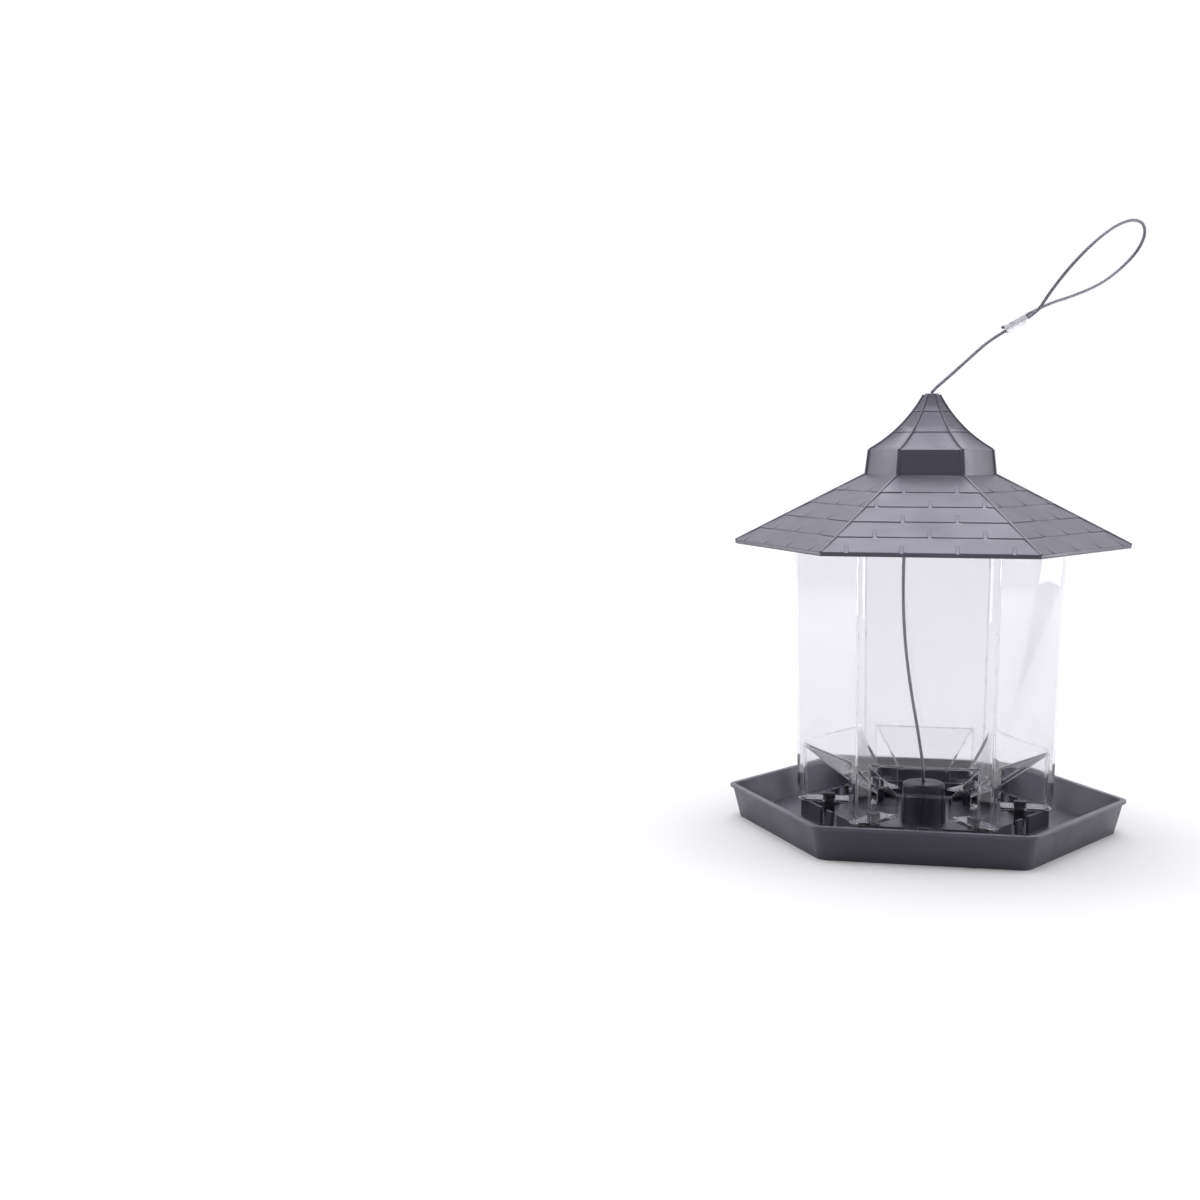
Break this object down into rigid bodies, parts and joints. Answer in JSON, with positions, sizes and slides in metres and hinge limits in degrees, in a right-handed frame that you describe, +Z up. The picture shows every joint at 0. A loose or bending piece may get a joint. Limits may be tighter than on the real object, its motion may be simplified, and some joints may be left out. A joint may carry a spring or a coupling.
{
  "type": "hanging bird feeder",
  "caption": "Hexagonal seed feeder: open tray, clear hopper on hollow legs, shingled gazebo roof and a wire-rope hanging loop.",
  "frame": {"origin": "middle of the tray's flat underside", "axes": "+Z up along the feeder's centre line; the hexagon's corners lie on +X and -X, and flat sides face +Y and -Y"},
  "size_m": [0.2422, 0.2044, 0.3616],
  "materials": {
    "tray_plastic": "satin",
    "clear_plastic": "gloss",
    "roof_plastic": "satin",
    "wire_rope": "satin",
    "ferrule_aluminium": "satin",
    "washer_steel": "satin"
  },
  "bodies": {
    "base": {"tray": "tray_plastic", "hopper": "clear_plastic", "cable_inner": "wire_rope", "end_stop": "ferrule_aluminium", "end_washer": "washer_steel"},
    "roof": {"roof": "roof_plastic"},
    "hanger": {"cable_loop": "wire_rope", "loop_ferrule": "ferrule_aluminium"}
  },
  "joints": [
    {"name": "roof_lift", "type": "slide", "parent": "base", "child": "roof", "axis": [0, 0, 1], "range_m": [0, 0.05]},
    {"name": "hanger_swing", "type": "hinge", "parent": "roof", "child": "hanger", "pos_m": [0, 0, 0.2593], "axis": [0, 1, 0], "range_deg": [-135, 45], "stiffness_Nm_per_rad": 0.06}
  ]
}
